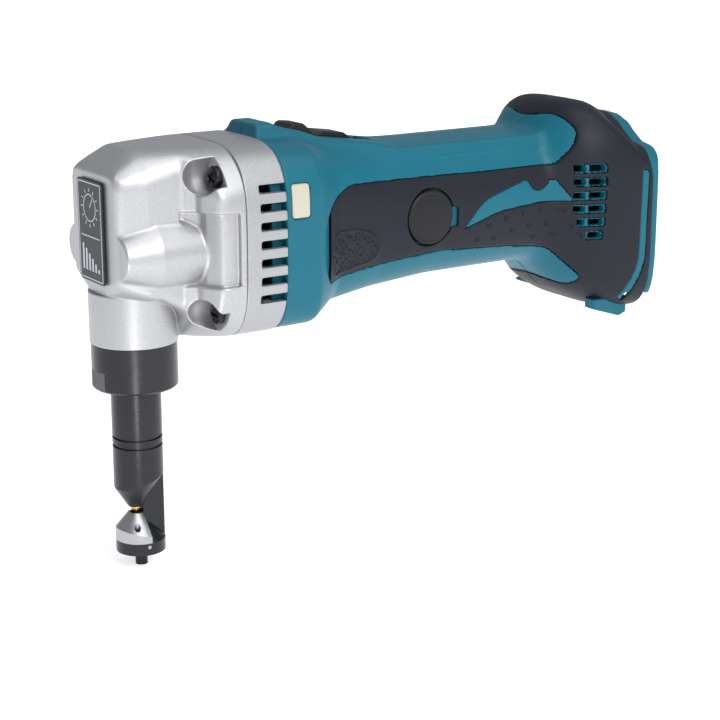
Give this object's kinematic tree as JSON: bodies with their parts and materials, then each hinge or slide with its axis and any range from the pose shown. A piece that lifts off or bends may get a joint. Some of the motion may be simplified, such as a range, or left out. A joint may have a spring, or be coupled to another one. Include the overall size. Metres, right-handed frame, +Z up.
{
  "type": "cordless nibbler",
  "caption": "Right-angle battery nibbler: cast head, swivelling die holder with reciprocating punch, barrel grip with slide switch, and an open battery foot.",
  "frame": {"origin": "on the swivel axis of the die holder, at the height of the cutting plane", "axes": "+X back along the handle towards the battery foot, +Z up the punch, -Y the left side of the tool"},
  "size_m": [0.2563, 0.076, 0.1757],
  "materials": {
    "cast_metal": "satin silver paint with fine metallic flake",
    "bracket_metal": "satin silver paint with fine metallic flake",
    "teal_plastic": "fine spark texture",
    "overmould": "soft matt skin",
    "plate_print": "printed, satin",
    "black_screw": "black oxide",
    "lens": "cloudy lens",
    "circuit_board": "solder mask",
    "black_plastic": "moulded",
    "brass": "turned",
    "carbon": "pressed carbon",
    "spring_steel": "wire",
    "dark_steel": "stamped",
    "bright_steel": "ground",
    "copper": "enamelled wire and copper bars",
    "black_oxide": "black oxide with machining lines",
    "gold_coating": "hard coating on ground steel",
    "felt": "pressed felt"
  },
  "bodies": {
    "casing": {"gear_housing": "cast_metal", "name_plate": "plate_print", "vent_housing": "bracket_metal", "housing_left": "teal_plastic", "housing_right": "teal_plastic", "grip_left": "overmould", "grip_right": "overmould", "gear_housing_screws": "black_screw", "housing_screws": "black_screw", "indicator_lens_left": "lens", "indicator_lens_right": "lens", "indicator_board": "circuit_board", "brush_cover_left": "black_plastic", "brush_cover_right": "black_plastic", "brush_holders": "brass", "carbon_brushes": "carbon", "brush_springs": "spring_steel", "motor_yoke": "dark_steel", "field_magnets": "dark_steel", "front_motor_bearing": "bright_steel", "rear_motor_bearing": "bright_steel", "baffle_plate": "black_plastic", "front_crank_bearing": "bright_steel", "rear_crank_bearing": "bright_steel", "ram_bush": "brass", "switch_unit": "black_plastic", "controller_board": "circuit_board", "terminal_block": "black_plastic", "terminal_blades": "brass", "battery_rails": "black_plastic", "bearing_plate": "black_plastic"},
    "armature": {"armature_shaft": "bright_steel", "armature_core": "dark_steel", "windings": "copper", "commutator": "copper", "cooling_fan": "black_plastic"},
    "crank": {"crankshaft": "bright_steel", "crank_gear": "bright_steel", "crank_roller": "bright_steel"},
    "ram": {"ram": "bright_steel"},
    "die_holder": {"die_holder": "black_oxide", "die": "bright_steel", "die_bolt": "black_screw", "die_pin": "bright_steel", "dust_seal": "felt"},
    "punch": {"punch": "gold_coating"},
    "lock_nut": {"lock_nut": "black_oxide"},
    "switch_slider": {"switch_rod": "black_plastic", "knob_pin": "spring_steel"},
    "switch_knob": {"switch_knob": "black_plastic"}
  },
  "joints": [
    {"name": "armature_spin", "type": "hinge", "parent": "casing", "child": "armature", "pos_m": [0.09, 0, 0.11], "axis": [1, 0, 0], "range_deg": [-720, 0]},
    {"name": "crank_spin", "type": "hinge", "parent": "casing", "child": "crank", "pos_m": [0.012, 0, 0.125], "axis": [1, 0, 0], "range_deg": [0, 180]},
    {"name": "ram_slide", "type": "slide", "parent": "casing", "child": "ram", "axis": [0, 0, 1], "range_m": [-0.006, 0]},
    {"name": "die_holder_swivel", "type": "hinge", "parent": "casing", "child": "die_holder", "pos_m": [0, 0, 0.03], "axis": [0, 0, 1], "continuous": true},
    {"name": "punch_slide", "type": "slide", "parent": "die_holder", "child": "punch", "axis": [0, 0, 1], "range_m": [-0.006, 0]},
    {"name": "lock_nut_turn", "type": "hinge", "parent": "casing", "child": "lock_nut", "pos_m": [0, 0, 0.06], "axis": [0, 0, 1], "range_deg": [0, 360]},
    {"name": "switch_slide", "type": "slide", "parent": "casing", "child": "switch_slider", "axis": [1, 0, 0], "range_m": [0, 0.006], "stiffness_N_per_m": 300},
    {"name": "knob_rock", "type": "hinge", "parent": "switch_slider", "child": "switch_knob", "pos_m": [0.085, 0, 0.1368], "axis": [0, 1, 0], "range_deg": [-4, 0], "stiffness_Nm_per_rad": 0.2}
  ],
  "couplings": [
    {"joint": "crank_spin", "follows": "armature_spin", "ratio": -0.25},
    {"joint": "ram_slide", "follows": "armature_spin", "m_per_rad": 0.00047746},
    {"joint": "punch_slide", "follows": "armature_spin", "m_per_rad": 0.00047746}
  ]
}
